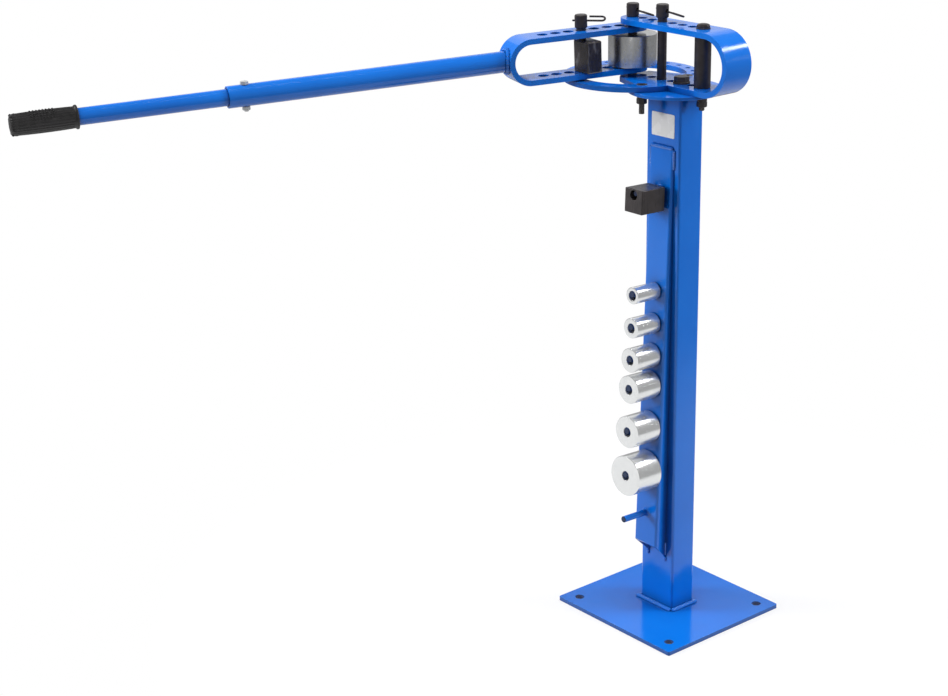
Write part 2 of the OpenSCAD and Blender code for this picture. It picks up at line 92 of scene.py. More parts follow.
# Fasteners: width across flats and shank radius, then root radius and pitch of the thread
M12_ACROSS, M12_R = 0.019, 0.006
M8_ACROSS, M8_R, M8_ROOT, M8_PITCH = 0.013, 0.004, 0.0037, 0.00125
M6_ACROSS, M6_R = 0.010, 0.003
WASHER_T, POST_WASHER_T = 0.0025, 0.0012
CENTRE_NUT_H = 0.010

# Least radius that makes a ring of points; anything smaller is a pole on the axis
POLE = 1e-7


def turn(axis, degrees):
    return Matrix.Rotation(math.radians(degrees), 4, axis)


def shift(x=0.0, y=0.0, z=0.0):
    return Matrix.Translation((x, y, z))


# The swing arm hangs on the slack of its pivot holes; its handle sags a little more
ARM = shift(*PIVOT, ARM_LEVEL) @ turn("Z", ARM_BEARING) @ turn("Y", ARM_SAG) @ shift(z=-ARM_LEVEL)
HANDLE = ARM @ shift(ARM_REACH, 0, ARM_LEVEL + HANDLE_RISE) @ turn("Y", HANDLE_SAG)
GRIP = HANDLE @ shift(GRIP_START)


def peg_place(i):
    """Root of peg i on the leaning face of the rack, +Z out along the peg, +Y up."""
    lean = math.degrees(RACK_LEAN)
    return (shift(0, -HALF_D - RACK_DEPTH, RACK_FOOT) @ turn("X", 90 - lean)
            @ shift(y=PEG_HEIGHTS[i] / math.cos(RACK_LEAN)))


# Finishes

class NodeTree:
    """A node tree with short calls that add nodes and feed them."""

    def __init__(self, tree):
        self.tree = tree

    def fill(self, node, inputs):
        """Feeds the inputs of a node with numbers, colours or outputs of other nodes."""
        for key, value in inputs.items():
            socket = node.inputs[key]
            if isinstance(value, bpy.types.NodeSocket):
                self.tree.links.new(value, socket)
            elif socket.type == "RGBA":
                socket.default_value = (*value, 1.0)
            else:
                socket.default_value = value

    def node(self, kind, inputs=None, **settings):
        made = self.tree.nodes.new(kind)
        for key, value in settings.items():
            setattr(made, key, value)
        self.fill(made, inputs or {})
        return made


class Shading(NodeTree):
    """The node tree of a material or a world, with the steps that its finishes share."""

    def __init__(self, owner):
        owner.use_nodes = True
        super().__init__(owner.node_tree)
        self.tree.nodes.clear()

    def math(self, operation, first, second):
        return self.node("ShaderNodeMath", {0: first, 1: second}, operation=operation).outputs[0]

    def dot(self, first, second):
        product = self.node("ShaderNodeVectorMath", {0: first, 1: second}, operation="DOT_PRODUCT")
        return product.outputs["Value"]

    def speckle(self, place, scale, detail=3.0, rough=0.55, stretch=None):
        """Soft noise around one half."""
        if stretch:
            place = self.node("ShaderNodeMapping", {"Vector": place, "Scale": stretch}).outputs["Vector"]
        return self.node("ShaderNodeTexNoise", {
            "Vector": place, "Scale": scale, "Detail": detail, "Roughness": rough}).outputs["Fac"]

    def span(self, value, low, high, to_low=0.0, to_high=1.0):
        """Maps low to high onto to_low to to_high, clamped."""
        return self.node("ShaderNodeMapRange", {
            "Value": value, "From Min": low, "From Max": high, "To Min": to_low, "To Max": to_high},
            clamp=True).outputs["Result"]

    def blend(self, share, first, second):
        """The first colour where share is 0, the second where it is 1."""
        return self.node("ShaderNodeMix", {0: share, 6: first, 7: second}, data_type="RGBA").outputs[2]

    def mix(self, share, first, second):
        """The first shader where share is 0, the second where it is 1."""
        return self.node("ShaderNodeMixShader", {0: share, 1: first.outputs[0], 2: second.outputs[0]})

    def edges(self, radius):
        """1 on outer and inner edges, 0 on the faces."""
        rounded = self.node("ShaderNodeBevel", {"Radius": radius}, samples=4)
        flat = self.node("ShaderNodeNewGeometry")
        along = self.dot(rounded.outputs["Normal"], flat.outputs["True Normal"])
        return self.span(self.math("SUBTRACT", 1.0, along), 0.02, 0.25)

    def relief(self, height, strength, distance, under=None):
        """A normal from a height pattern, on top of the normal under it."""
        bump = self.node("ShaderNodeBump", {"Height": height, "Strength": strength, "Distance": distance})
        if under is not None:
            self.fill(bump, {"Normal": under})
        return bump.outputs["Normal"]


def finish(name):
    """A new material with its shading, its skin shader and its own coordinates."""
    material = bpy.data.materials.new(name)
    shading = Shading(material)
    skin = shading.node("ShaderNodeBsdfPrincipled")
    shading.node("ShaderNodeOutputMaterial", {"Surface": skin.outputs["BSDF"]})
    return material, shading, skin, shading.node("ShaderNodeTexCoord").outputs["Object"]


def dimmed(colour, share):
    return [part * share for part in colour]


def blue_coat(name="blue_powder_coat", share=1.0, gloss=(0.10, 0.17), shade_reach=0.030, ior=1.5):
    """Glossy powder coat: orange peel, slow shade drift, paler on edges, and painted shade that darkens it
    in hollows.
    """
    material, shading, skin, place = finish(name)
    drift = shading.span(shading.speckle(place, scale=9.0, detail=2.0), 0.35, 0.65)
    shade = shading.blend(drift, dimmed((0.0020, 0.157, 0.685), share),
                          dimmed((0.0030, 0.177, 0.735), share))
    patches = shading.span(shading.speckle(place, scale=160.0, detail=4.0), 0.35, 0.7, 0.15, 0.55)
    thin = shading.math("MULTIPLY", shading.edges(0.0012), patches)
    shade = shading.blend(thin, shade, dimmed((0.06, 0.31, 0.90), share))
    # Painted shade: ambient occlusion darkens the coat in corners, crevices and under parts, where shade
    # falls
    hollow_shade = shading.node("ShaderNodeAmbientOcclusion", {"Distance": shade_reach}, samples=8)
    unshaded_share = shading.span(hollow_shade.outputs["AO"], 0.35, 0.92)
    shade = shading.blend(unshaded_share, dimmed((0.0005, 0.040, 0.215), share), shade)
    peel = shading.relief(shading.speckle(place, scale=620.0, detail=2.0, rough=0.4), 0.20, 0.00022)
    waves = shading.speckle(place, scale=70.0, detail=1.0, rough=0.4)
    shading.fill(skin, {
        "Base Color": shade,
        "Roughness": shading.span(shading.speckle(place, scale=36.0), 0.3, 0.7, *gloss),
        "IOR": ior,
        "Normal": shading.relief(waves, 0.10, 0.0006, under=peel)})
    return material


def black_oxide(name="black_oxide", pale=0.014, gloss=(0.30, 0.46), streaks_and_sheen=0.0,
                worn_edge=0.0008, worn_least=0.10, grain=260.0, grain_along=0.06):
    """Blued steel: brown-black with faint machining marks along the grain, some painted paler as painted
    reflection, and bare steel along worn edges.
    """
    material, shading, skin, place = finish(name)
    cloud = shading.span(shading.speckle(place, scale=60.0, detail=4.0), 0.3, 0.7)
    dark, light = (0.023, 0.018, 0.019), (0.044, 0.035, 0.036)
    shade = shading.blend(cloud, [part + pale for part in dark], [part + pale for part in light])
    rubbed = shading.span(shading.speckle(place, scale=420.0, detail=4.0), 0.42, 0.68, worn_least, 0.75)
    bare = shading.math("MULTIPLY", shading.edges(worn_edge), rubbed)
    shade = shading.blend(bare, shade, (0.38, 0.36, 0.35))
    streak = shading.speckle(place, grain, rough=0.6, stretch=(1.0, 1.0, grain_along))
    # Pale stripes along the grain: machining marks, painted paler to stand in for reflection
    if streaks_and_sheen:
        shade = shading.blend(shading.span(streak, 0.56, 0.70, 0.0, streaks_and_sheen), shade, (0.26, 0.25, 0.25))
    shading.fill(skin, {
        "Base Color": shade,
        "Metallic": 0.45,
        "Roughness": shading.span(streak, 0.3, 0.7, *gloss),
        "Normal": shading.relief(streak, 0.25, 0.0001)})
    return material


def zinc(name, bright, gloss, metal=0.62, depth=0.86, place_on=None):
    """Zinc plated turned steel: mottled, with fine turning rings round its own axis."""
    material, shading, skin, place = finish(name)
    mottle = shading.speckle(place, scale=230.0, detail=5.0, rough=0.62)
    cloud = shading.span(shading.speckle(place, scale=45.0), 0.35, 0.7, 0.0, 0.35)
    shade = shading.blend(shading.span(mottle, 0.36, 0.64),
                          dimmed((1.0, 1.015, 1.02), depth * bright), dimmed((1.0, 1.01, 1.01), bright))
    shade = shading.blend(cloud, shade, dimmed((0.90, 0.92, 0.93), bright))
    on_axis = place
    if place_on is not None:
        spot, lean = place_on
        on_axis = shading.node("ShaderNodeMapping", {"Vector": place, "Location": spot, "Rotation": lean},
                               vector_type="TEXTURE").outputs["Vector"]
    wave = shading.node("ShaderNodeTexWave", {
        "Vector": on_axis, "Scale": 260.0, "Distortion": 1.5, "Detail": 2.0},
        wave_type="RINGS", rings_direction="SPHERICAL")
    rings = shading.relief(wave.outputs["Fac"], 0.10, 0.00006)
    # The darker the mottles, the deeper their pits
    pitting = 0.25 * (1.0 - depth)
    shading.fill(skin, {
        "Base Color": shade,
        "Metallic": metal,
        "Roughness": shading.span(mottle, 0.3, 0.7, gloss[1], gloss[0]),
        "Normal": shading.relief(mottle, pitting, 0.00008, under=rings)})
    return material


def clouded(name, dark, light, cloud_scale, cloud_detail, gloss, grain, grain_detail, strength, distance):
    """A plain finish: two shades drift into each other under a fine grain."""
    material, shading, skin, place = finish(name)
    cloud = shading.speckle(place, cloud_scale, cloud_detail)
    shading.fill(skin, {
        "Base Color": shading.blend(shading.span(cloud, 0.35, 0.7), dark, light),
        "Roughness": shading.span(cloud, 0.3, 0.7, *gloss),
        "Normal": shading.relief(shading.speckle(place, grain, grain_detail), strength, distance)})
    return material


def grip_rubber():
    """Moulded black rubber with a dusty bloom."""
    return clouded("grip_rubber", dark=(0.012, 0.0115, 0.012), light=(0.027, 0.0255, 0.026),
                   cloud_scale=90.0, cloud_detail=4.0, gloss=(0.42, 0.58),
                   grain=900.0, grain_detail=3.0, strength=0.3, distance=0.00012)


def label_film():
    """Blank film: off-white with faint mottling and a soft sheen."""
    return clouded("label_film", dark=(0.83, 0.825, 0.81), light=(0.88, 0.875, 0.86),
                   cloud_scale=70.0, cloud_detail=3.0, gloss=(0.22, 0.32),
                   grain=500.0, grain_detail=2.0, strength=0.06, distance=0.0001)


BLUE = blue_coat()
BEAD_BLUE = blue_coat("blue_weld_bead", gloss=(0.03, 0.08), shade_reach=0.0015, ior=2.0)
PEG_END = blue_coat("shaded_peg_end", share=0.10)
OXIDE = black_oxide()
BLOCK_OXIDE = black_oxide("block_oxide", gloss=(0.16, 0.38), streaks_and_sheen=0.65,
                          worn_edge=0.0022, worn_least=0.38, grain=120.0, grain_along=0.284)
SPARE_OXIDE = black_oxide("spare_oxide", pale=0.026, gloss=(0.24, 0.44), streaks_and_sheen=0.15)
ZINC_SMALL = zinc("zinc_small", 0.74, gloss=(0.28, 0.42))
RUBBER = grip_rubber()
FILM = label_film()


# Piece making

def keep(name, mesh, material, body, slot, *nodes):
    """Makes the finished piece of a mesh whose place is already in its points."""
    piece = bpy.data.objects.new(name, mesh)
    scene.collection.objects.link(piece)
    mesh.materials.clear()
    mesh.materials.append(material)
    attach(piece, body)
    if nodes:
        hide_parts(*nodes)


def body_with(node):
    """Name of the body that a node belongs to."""
    for body, nodes in frame["record"]["behaviour"]["bodies"].items():
        if node in nodes:
            return body


def smooth(mesh, degrees=32):
    """Smooth shading, with sharp edges where faces meet at more than this angle."""
    mesh.polygons.foreach_set("use_smooth", [True] * len(mesh.polygons))
    mesh.set_sharp_from_angle(angle=math.radians(degrees))
    mesh.update()


def merged_copy(node):
    """Points of a solid with doubles merged and flat faces made whole again."""
    bm = bmesh.new()
    bm.from_mesh(frame["nodes"][node].data)
    bmesh.ops.remove_doubles(bm, verts=bm.verts, dist=2e-6)
    bmesh.ops.dissolve_degenerate(bm, dist=1e-6, edges=bm.edges)
    bmesh.ops.dissolve_limit(bm, angle_limit=math.radians(0.3), use_dissolve_boundaries=False,
                             verts=bm.verts, edges=bm.edges)
    bmesh.ops.recalc_face_normals(bm, faces=bm.faces)
    mesh = bpy.data.meshes.new(node + "_points")
    bm.to_mesh(mesh)
    bm.free()
    return mesh


def evaluated(piece):
    """The mesh that the modifiers of a piece give."""
    return bpy.data.meshes.new_from_object(piece.evaluated_get(bpy.context.evaluated_depsgraph_get()))


def rounded_node(name, node, width, material, slot, steps=3, sharp=32):
    """A solid with its edges rounded off, as rolled bar, folded sheet and coat leave them."""
    mesh = merged_copy(node)
    smooth(mesh, sharp)
    raw = bpy.data.objects.new(name + "_raw", mesh)
    scene.collection.objects.link(raw)
    if width:
        bevel = raw.modifiers.new("rounded edges", "BEVEL")
        bevel.width = width
        bevel.segments = steps
        bevel.limit_method = "ANGLE"
        bevel.angle_limit = math.radians(sharp)
        bevel.harden_normals = True
        bevel.use_clamp_overlap = True
        bevel.miter_outer = "MITER_ARC"
    ready = evaluated(raw)
    bpy.data.objects.remove(raw)
    keep(name, ready, material, body_with(node), slot, node)


def angles(count):
    return [2 * math.pi * k / count for k in range(count)]


def ring(bm, place, points):
    return [bm.verts.new(place @ Vector(point)) for point in points]


def bridge(bm, rings, closed=False):
    """Joins each ring of points to the next; a ring of one point is a pole."""
    pairs = list(zip(rings, rings[1:]))
    if closed:
        pairs.append((rings[-1], rings[0]))
    for a, b in pairs:
        count = max(len(a), len(b))
        if count == 1:
            continue
        for k in range(count):
            n = (k + 1) % count
            if len(a) == 1:
                bm.faces.new((a[0], b[n], b[k]))
            elif len(b) == 1:
                bm.faces.new((a[k], a[n], b[0]))
            else:
                bm.faces.new((a[k], a[n], b[n], b[k]))


def turned(profile, place, steps=96, bm=None):
    """A round piece from a closed (radius, height) profile; radius 0 makes a pole."""
    bm = bm or bmesh.new()
    rings = []
    for radius, height in profile:
        around = angles(steps) if radius > POLE else [0.0]
        rings.append(ring(bm, place, [(radius * math.cos(t), radius * math.sin(t), height) for t in around]))
    bridge(bm, rings, closed=len(rings[0]) > 1)
    return bm


def to_mesh(bm, name, sharp=32):
    bmesh.ops.recalc_face_normals(bm, faces=bm.faces)
    mesh = bpy.data.meshes.new(name)
    bm.to_mesh(mesh)
    bm.free()
    smooth(mesh, sharp)
    return mesh


def eased(profile, ease, steps=3):
    """Rounds every corner of a closed (radius, height) profile; corners on the axis stay."""
    out = []
    most_share = 0.45
    for i, point in enumerate(profile):
        if point[0] <= POLE:
            out.append(point)
            continue
        corner = Vector(point)
        back = Vector(profile[i - 1]) - corner
        on = Vector(profile[(i + 1) % len(profile)]) - corner
        cut = min(ease, back.length * most_share, on.length * most_share)
        start, end = corner + back * (cut / back.length), corner + on * (cut / on.length)
        for k in range(steps + 1):
            t = k / steps
            spot = start * (1 - t) ** 2 + corner * 2 * t * (1 - t) + end * t * t
            out.append((spot.x, spot.y))
    return out


def sleeve_profile(inner, outer, low, high, ease, steps=3):
    """Eased profile of a tube or a washer."""
    return eased([(inner, low), (outer, low), (outer, high), (inner, high)], ease, steps)


def rod_profile(radius, low, high, taper, taper_height=0.0005):
    """Profile of a plain rod with a tapered lower end."""
    return [(0, low), (radius - taper, low), (radius, low + taper_height), (radius, high), (0, high)]


def hexagon_piece(bm, place, across, height, bore=0.0, low_cut=True):
    """Hexagon nut or head with its corners turned off; without a bore it is solid."""
    corner_angle = math.radians(30)
    face_share = 0.955
    inner = across / 2 * face_share
    rows = []
    for angle in angles(72):
        wedge = (math.degrees(angle) + 30) % 60 - 30
        reach = across / 2 / math.cos(math.radians(wedge))
        cut = (reach - inner) * math.tan(corner_angle)
        flat = [(bore, 0), (inner, 0), (reach, cut if low_cut else 0.0),
                (reach, height - cut), (inner, height), (bore, height)]
        rows.append([(r * math.cos(angle), r * math.sin(angle), h) for r, h in flat])
    levels = list(zip(*rows))
    if bore <= POLE:
        levels[0], levels[-1] = levels[0][:1], levels[-1][:1]
    bridge(bm, [ring(bm, place, level) for level in levels], closed=bore > POLE)


# Forms repeated by geometry nodes

class FormTree(NodeTree):
    """A geometry tree with named size inputs that stamps one form on many points."""

    def __init__(self, name, sizes):
        super().__init__(bpy.data.node_groups.new(name, "GeometryNodeTree"))
        sockets = self.tree.interface
        sockets.new_socket("Geometry", in_out="INPUT", socket_type="NodeSocketGeometry")
        self.keys = {}
        for label, kind, value in sizes:
            socket = sockets.new_socket(label, in_out="INPUT", socket_type=kind)
            socket.default_value = value
            self.keys[label] = socket.identifier
        sockets.new_socket("Geometry", in_out="OUTPUT", socket_type="NodeSocketGeometry")
        self.start = self.node("NodeGroupInput").outputs

    def spread(self, step):
        """Points one step apart along the carrier line."""
        return self.node("GeometryNodeResampleCurve", {"Curve": self.start["Geometry"], "Length": step},
                         mode="LENGTH").outputs["Curve"]

    def stamp(self, points, form, way, axis, size=None):
        """Puts the form on every point with its axis along way, and ends the tree."""
        aligned = self.node("FunctionNodeAlignRotationToVector", {"Vector": way}, axis=axis)
        place = self.node("GeometryNodeInstanceOnPoints", {
            "Points": points, "Instance": form, "Rotation": aligned.outputs["Rotation"]})
        if size is not None:
            self.fill(place, {"Scale": size})
        real = self.node("GeometryNodeRealizeInstances", {"Geometry": place.outputs["Instances"]})
        self.node("NodeGroupOutput", {"Geometry": real.outputs["Geometry"]})

    def run(self, name, carrier, sizes):
        """Runs the tree on a carrier and gives the plain mesh."""
        source = bpy.data.objects.new(name + "_line", carrier)
        scene.collection.objects.link(source)
        step = source.modifiers.new("form", "NODES")
        step.node_group = self.tree
        for label, value in sizes.items():
            step[self.keys[label]] = value
        source.update_tag()
        bpy.context.view_layer.update()
        mesh = evaluated(source)
        source.modifiers.remove(step)
        bpy.data.objects.remove(source)
        return mesh


def weld_tree():
    """Weld bead: flattened drops overlap along a line like fallen coins."""
    form = FormTree("weld_bead", [
        ("Bead radius", "NodeSocketFloat", 0.003), ("Ripple step", "NodeSocketFloat", 0.0016),
        ("Ripple depth", "NodeSocketFloat", 0.0017), ("Seed", "NodeSocketInt", 1)])
    drop = form.node("GeometryNodeMeshUVSphere", {"Segments": 16, "Rings": 10, "Radius": 1.0})
    even = form.node("GeometryNodeSetShadeSmooth", {"Geometry": drop.outputs["Mesh"]})
    vary = form.node("FunctionNodeRandomValue", {"Seed": form.start["Seed"]}, data_type="FLOAT")
    least, most = [socket for socket in vary.inputs if socket.type == "VALUE"][:2]
    least.default_value, most.default_value = 0.9, 1.08
    factor = [socket for socket in vary.outputs if socket.type == "VALUE"][0]
    wide = form.node("ShaderNodeMath", {0: factor, 1: form.start["Bead radius"]}, operation="MULTIPLY")
    size = form.node("ShaderNodeCombineXYZ", {
        "X": form.start["Ripple depth"], "Y": wide.outputs[0], "Z": wide.outputs[0]}).outputs["Vector"]
    along = form.node("GeometryNodeInputTangent").outputs["Tangent"]
    form.stamp(form.spread(form.start["Ripple step"]), even.outputs["Geometry"], along, "X", size)
    return form


def thread_tree():
    """Screw thread: crest rings a pitch apart along a line."""
    form = FormTree("screw_thread", [
        ("Crest radius", "NodeSocketFloat", 0.0039), ("Pitch", "NodeSocketFloat", 0.00125)])
    circle = form.node("GeometryNodeCurvePrimitiveCircle", {
        "Resolution": 40, "Radius": form.start["Crest radius"]})
    ridge_share = 0.36
    ridge_size = form.node("ShaderNodeMath", {0: form.start["Pitch"], 1: ridge_share}, operation="MULTIPLY")
    ridge = form.node("GeometryNodeCurvePrimitiveCircle", {"Resolution": 4, "Radius": ridge_size.outputs[0]})
    crest = form.node("GeometryNodeCurveToMesh", {
        "Curve": circle.outputs["Curve"], "Profile Curve": ridge.outputs["Curve"]})
    along = form.node("GeometryNodeInputTangent").outputs["Tangent"]
    form.stamp(form.spread(form.start["Pitch"]), crest.outputs["Mesh"], along, "Z")
    return form


def stud_tree():
    """Moulded grip studs: small rounded pips on the faces of the carrier, standing out of them."""
    form = FormTree("grip_studs", [
        ("Stud radius", "NodeSocketFloat", 0.001), ("Stud height", "NodeSocketFloat", 0.0006)])
    pip = form.node("GeometryNodeMeshIcoSphere", {"Subdivisions": 3, "Radius": 1.0})
    even = form.node("GeometryNodeSetShadeSmooth", {"Geometry": pip.outputs["Mesh"]})
    radius, height = form.start["Stud radius"], form.start["Stud height"]
    size = form.node("ShaderNodeCombineXYZ", {"X": radius, "Y": radius, "Z": height}).outputs["Vector"]
    outward = form.node("GeometryNodeInputNormal").outputs["Normal"]
    hold = form.node("GeometryNodeCaptureAttribute", domain="FACE")
    hold.capture_items.new("VECTOR", "Normal")
    form.fill(hold, {"Geometry": form.start["Geometry"], 1: outward})
    points = form.node("GeometryNodeMeshToPoints", {"Mesh": hold.outputs["Geometry"]}, mode="FACES")
    form.stamp(points.outputs["Points"], even.outputs["Geometry"], hold.outputs[1], "Z", size)
    return form


WELD = weld_tree()
THREAD = thread_tree()
STUDS = stud_tree()


def line_through(name, points, closed=False):
    curve = bpy.data.curves.new(name, "CURVE")
    curve.dimensions = "3D"
    spline = curve.splines.new("POLY")
    spline.points.add(len(points) - 1)
    for target, point in zip(spline.points, points):
        target.co = (*point, 1.0)
    spline.use_cyclic_u = closed
    return curve


def joined(meshes, name):
    bm = bmesh.new()
    for mesh in meshes:
        bm.from_mesh(mesh)
        bpy.data.meshes.remove(mesh)
    mesh = bpy.data.meshes.new(name)
    bm.to_mesh(mesh)
    bm.free()
    return mesh


def weld_line(name, points, radius, step, depth, seed, closed=False):
    mesh = WELD.run(name, line_through(name, points, closed), {
        "Bead radius": radius, "Ripple step": step, "Ripple depth": depth, "Seed": seed})
    mesh.polygons.foreach_set("use_smooth", [True] * len(mesh.polygons))
    return mesh


def thread_line(name, x, y, low, high):
    """Crests of an M8 thread from low to high."""
    return THREAD.run(name, line_through(name, [(x, y, low), (x, y, high)]), {
        "Crest radius": M8_ROOT, "Pitch": M8_PITCH})


# Plates, column, frame, rack and arm

for name, node, width, steps in (
        ("plate", "base_plate", 0.0010, 3), ("column_tube", "column", 0.0005, 2),
        ("flange_plate", "head_flange", 0.0008, 3), ("ring_plate", "stop_ring", 0.0008, 3),
        ("u_frame", "fixed_frame", 0.0011, 3), ("rack_channel", "tool_rack", 0.0008, 3),
        ("arm_bar", "swing_arm", 0.0011, 3)):
    rounded_node(name, node, width, BLUE, "blue_paint", steps)


# Welds of the column

def weld_around(name, proud, runs, height, radius, depth, seed):
    """Beads along the four sides of the column; runs say how far each passes its two corners."""
    column = ((-HALF_W, -HALF_D), (HALF_W, -HALF_D), (HALF_W, HALF_D), (-HALF_W, HALF_D))
    ways = ((1, 0), (0, 1), (-1, 0), (0, -1))
    beads = []
    for k, (before, after) in enumerate(runs):
        (x0, y0), (x1, y1), (dx, dy) = column[k], column[(k + 1) % 4], ways[k]
        start = (x0 - dx * before + dy * proud, y0 - dy * before - dx * proud, height)
        end = (x1 + dx * after + dy * proud, y1 + dy * after - dx * proud, height)
        beads.append(weld_line(f"{name}_{k}", [start, end], radius, 0.0015, depth, seed + k))
    return joined(beads, name)


foot_runs = ((0.004, -0.003), (-0.002, 0.003), (-0.002, -0.002), (-0.001, -0.003))
foot_z = PLATE_TOP + 0.0014
foot = weld_around("foot_bead", 0.0018, foot_runs, foot_z, radius=0.0036, depth=0.0027, seed=0)
keep("foot_bead", foot, BEAD_BLUE, "stand", "blue_paint", "foot_weld")

head_runs = ((-0.003, -0.003),) * 4
head_z = UNDER_FLANGE - 0.0008
head = weld_around("head_bead", 0.0010, head_runs, head_z, radius=0.0025, depth=0.0019, seed=10)
keep("head_bead", head, BLUE, "stand", "blue_paint", "head_weld")


# Welds and pegs of the rack

def rack_side(side, height):
    """A point beside the leaning side of the rack, on the column, height above the rack foot."""
    depth = RACK_DEPTH - height * RACK_SLOPE
    beside, proud = 0.0004, 0.0008
    return (side * (RACK_HALF_W - depth * RACK_DRAFT + beside), -HALF_D - proud, RACK_FOOT + height)


def rack_welds():
    """A bead over the top of the rack, and three stitches on each side of it."""
    half_len, proud, above = 0.019, 0.0012, 0.0006
    top_line = [(x, -HALF_D - proud, RACK_TOP + above) for x in (-half_len, half_len)]
    beads = [weld_line("rack_top_bead", top_line, 0.0030, 0.0017, 0.0022, seed=21)]
    stitches = ((RACK_LEN - 0.028, RACK_LEN - 0.003, 0.0023), (-0.021, -0.003, 0.0019),
                (-0.0305, -0.0270, 0.0024))
    for k, side in enumerate((-1, 1)):
        for part, (low, high, radius) in enumerate(stitches):
            line = [rack_side(side, low), rack_side(side, high)]
            seed = 23 + k + 3 * part
            beads.append(weld_line(f"rack_bead_{part}_{k}", line, radius, 0.0014, 0.0018, seed))
    return joined(beads, "rack_bead")


keep("rack_bead", rack_welds(), BEAD_BLUE, "stand", "blue_paint")


def rack_peg_row():
    """Pegs, each in a small fillet of weld on the rack."""
    root_r, fillet_w, fillet_h, sunk, length = 0.0086, 0.0036, 0.0034, 0.0004, 0.0475
    root = [(0.0, -sunk), (root_r, -sunk)]
    quarter = [math.radians(a) for a in range(0, 91, 15)]
    fillet = [(PEG_R + fillet_w * (1 - math.sin(t)), fillet_h * (1 - math.cos(t))) for t in quarter]
    tip = [(PEG_R, length - 0.0010), (PEG_R - 0.0002, length - 0.0005),
           (PEG_R - 0.00075, length), (0.0, length)]
    pegs = bmesh.new()
    for i in range(len(PEG_HEIGHTS)):
        turned(root + fillet + tip, peg_place(i), 48, pegs)
    return to_mesh(pegs, "peg_row", 40)


peg_row = rack_peg_row()
keep("peg_row", peg_row, BLUE, "stand", "blue_paint", "rack_pegs")

# The ends of the pegs are darker, because most lie in shade inside the stored dies
PEG_END_R, PEG_END_FROM = 0.006, 0.0460
peg_row.materials.append(PEG_END)
for face in peg_row.polygons:
    spots = [peg_place(i).inverted() @ face.center for i in range(len(PEG_HEIGHTS))]
    if any(math.hypot(spot.x, spot.y) < PEG_END_R and spot.z > PEG_END_FROM for spot in spots):
        face.material_index = 1


# Blank film on the column, where a printed label would sit

def blank_film(corner=0.0018):
    """A thin plate with rounded corners, as large as its solid."""
    (left, front, low), (right, back, high) = corners("label_plate")
    half_w, half_h, middle_h = (right - left) / 2, (high - low) / 2, (low + high) / 2
    outline = []
    for cx, cz, first in ((1, 1, 0), (-1, 1, 90), (-1, -1, 180), (1, -1, 270)):
        for a in range(0, 91, 15):
            t = math.radians(first + a)
            outline.append((cx * (half_w - corner) + corner * math.cos(t),
                            middle_h + cz * (half_h - corner) + corner * math.sin(t)))
    bm = bmesh.new()
    sheets = [ring(bm, Matrix(), [(x, y, z) for x, z in outline]) for y in (back, front)]
    for sheet in sheets:
        bm.faces.new(sheet)
    bridge(bm, sheets)
    return to_mesh(bm, "blank_film")


keep("blank_film", blank_film(), FILM, "stand", "label_film", "label_plate")


# Fasteners of the head

bolt_seat = shift(*CENTRE_BOLT, RING_TOP + WASHER_T)
bolt = bmesh.new()
hexagon_piece(bolt, bolt_seat @ turn("Z", 10), M12_ACROSS, height=0.0075, low_cut=False)
turned(rod_profile(M12_R, -0.0295, 0.0, taper=0.0005), bolt_seat, 48, bolt)
keep("hex_bolt", to_mesh(bolt, "hex_bolt", 25), OXIDE, "stand", "black_oxide", "centre_bolt")

washer = turned(sleeve_profile(0.0061, 0.012, 0, WASHER_T, ease=0.0005), shift(*CENTRE_BOLT, RING_TOP), 72)
keep("flat_washer", to_mesh(washer, "flat_washer"), OXIDE, "stand", "black_oxide", "centre_washer")

nut = bmesh.new()
hexagon_piece(nut, shift(*CENTRE_BOLT, UNDER_FLANGE - CENTRE_NUT_H), M12_ACROSS, CENTRE_NUT_H, M12_R)
keep("hex_nut", to_mesh(nut, "hex_nut", 25), OXIDE, "stand", "black_oxide", "centre_nut")


def nut_stack(name, x, y, node):
    """Nut under the flange and a lock nut below it, turned a little."""
    nut_h, lock_h, lock_turn = 0.0065, 0.0080, 12
    bm = bmesh.new()
    hexagon_piece(bm, shift(x, y, UNDER_FLANGE - nut_h), M8_ACROSS, nut_h, M8_R)
    below = shift(x, y, UNDER_FLANGE - nut_h - lock_h) @ turn("Z", lock_turn)
    hexagon_piece(bm, below, M8_ACROSS, lock_h, M8_R)
    keep(name, to_mesh(bm, name, 25), OXIDE, "stand", "black_oxide", node)


nut_stack("front_nuts", SIDE_BOLT[0], -SIDE_BOLT[1], "flange_nut_front")
nut_stack("back_nuts", *SIDE_BOLT, "flange_nut_back")
nut_stack("post_nuts", *POST, "post_nut")


def countersunk_bolt(name, x, y, node):
    """Bolt flush with the ring: tapered end, thread, shank, cone and a shallow socket."""
    length, thread_from = 0.042, 0.026
    rod = [(0, -length), (M8_ROOT - 0.0004, -length), (M8_ROOT, -length + 0.0008),
           (M8_ROOT, -thread_from), (M8_R, -thread_from + 0.0005)]
    cone = [(M8_R, -0.0042), (0.0079, -0.0002), (0.0077, 0.0)]
    socket = [(0.0030, 0.0), (0.0027, -0.0012), (0, -0.0013)]
    shank = to_mesh(turned(rod + cone + socket, shift(x, y, RING_TOP), 48), name, 30)
    crests = thread_line(name + "_thread", x, y, UNDER_FLANGE - 0.0285, UNDER_FLANGE - 0.0150)
    keep(name, joined([shank, crests], name), OXIDE, "stand", "black_oxide", node)


countersunk_bolt("front_countersunk", SIDE_BOLT[0], -SIDE_BOLT[1], "flange_bolt_front")
countersunk_bolt("back_countersunk", *SIDE_BOLT, "flange_bolt_back")


# Post bolt, its washer and the spacer on it

